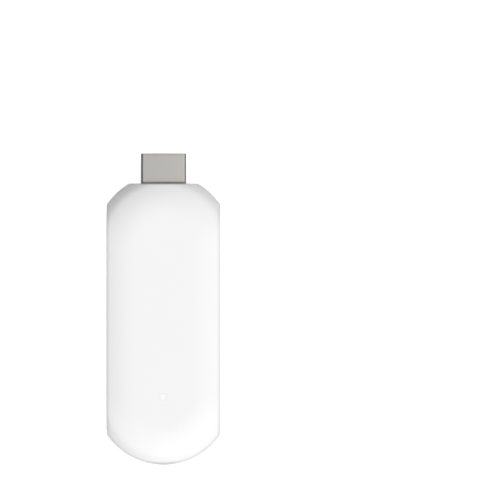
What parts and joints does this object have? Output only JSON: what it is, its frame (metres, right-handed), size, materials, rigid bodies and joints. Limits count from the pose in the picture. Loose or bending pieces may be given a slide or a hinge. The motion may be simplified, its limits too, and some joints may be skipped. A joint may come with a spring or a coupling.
{
  "type": "streaming stick",
  "caption": "Pebble-shaped streaming stick with flat sides, a television plug at one end, a power socket in one side, a pairing button in the other and a status light.",
  "frame": {"origin": "centre of the footprint, on the surface that the back face rests on", "axes": "+Y runs along the stick towards the plug's tip, +Z out of the front face with the status light, and +X to the right seen from the front with the plug up, where the power socket is"},
  "size_m": [0.0348, 0.0954, 0.013],
  "materials": {
    "white_shell": "satin white ABS",
    "plug_steel": "satin nickel-plated steel",
    "socket_steel": "plain stainless steel",
    "black_moulding": "black glass-filled nylon",
    "gold_contact": "gold flash over nickel",
    "spring_steel": "bright stamped strip",
    "grey_plunger": "grey nylon",
    "clear_pipe": "frosted clear acrylic",
    "black_foam": "closed-cell foam",
    "lamp_body": "yellow-tinted epoxy",
    "circuit_board": "green solder mask",
    "chip_black": "moulded epoxy",
    "shield_tin": "tinned steel",
    "thermal_pad": "soft blue silicone",
    "spreader_aluminium": "plain rolled sheet",
    "coil_grey": "pressed iron powder",
    "capacitor_brown": "fired ceramic"
  },
  "bodies": {
    "stick": {"antenna_left": "spring_steel", "antenna_right": "spring_steel", "back_cover": "white_shell", "back_heat_spreader": "spreader_aluminium", "back_inner_pad": "thermal_pad", "back_outer_pad": "thermal_pad", "back_shield_frame": "shield_tin", "back_shield_lid": "shield_tin", "board_screws": "socket_steel", "ceramic_capacitors": "capacitor_brown", "clock_crystals": "shield_tin", "flash_chip": "chip_black", "front_cover": "white_shell", "front_heat_spreader": "spreader_aluminium", "front_inner_pad": "thermal_pad", "front_outer_pad": "thermal_pad", "front_shield_frame": "shield_tin", "front_shield_lid": "shield_tin", "light_pipe": "clear_pipe", "light_shroud": "black_foam", "main_board": "circuit_board", "memory_chips": "chip_black", "plug_contacts_back": "gold_contact", "plug_contacts_front": "gold_contact", "plug_core": "black_moulding", "plug_shell": "plug_steel", "power_chip": "chip_black", "power_coils": "coil_grey", "processor_chip": "chip_black", "radio_module": "shield_tin", "socket_contacts": "gold_contact", "socket_core": "black_moulding", "socket_shell": "socket_steel", "status_lamp": "lamp_body", "switch_body": "black_moulding", "switch_bracket": "socket_steel", "switch_leaf": "spring_steel"},
    "button": {"pairing_button": "white_shell"},
    "plunger": {"switch_plunger": "grey_plunger"}
  },
  "joints": [
    {"name": "button_press", "type": "slide", "parent": "stick", "child": "button", "axis": [1, 0, 0], "range_m": [0, 0.0003], "stiffness_N_per_m": 2000},
    {"name": "plunger_press", "type": "slide", "parent": "stick", "child": "plunger", "axis": [1, 0, 0], "range_m": [0, 0.0003], "deforming": ["switch_leaf"]}
  ],
  "couplings": [
    {"joint": "plunger_press", "follows": "button_press", "ratio": 1}
  ]
}
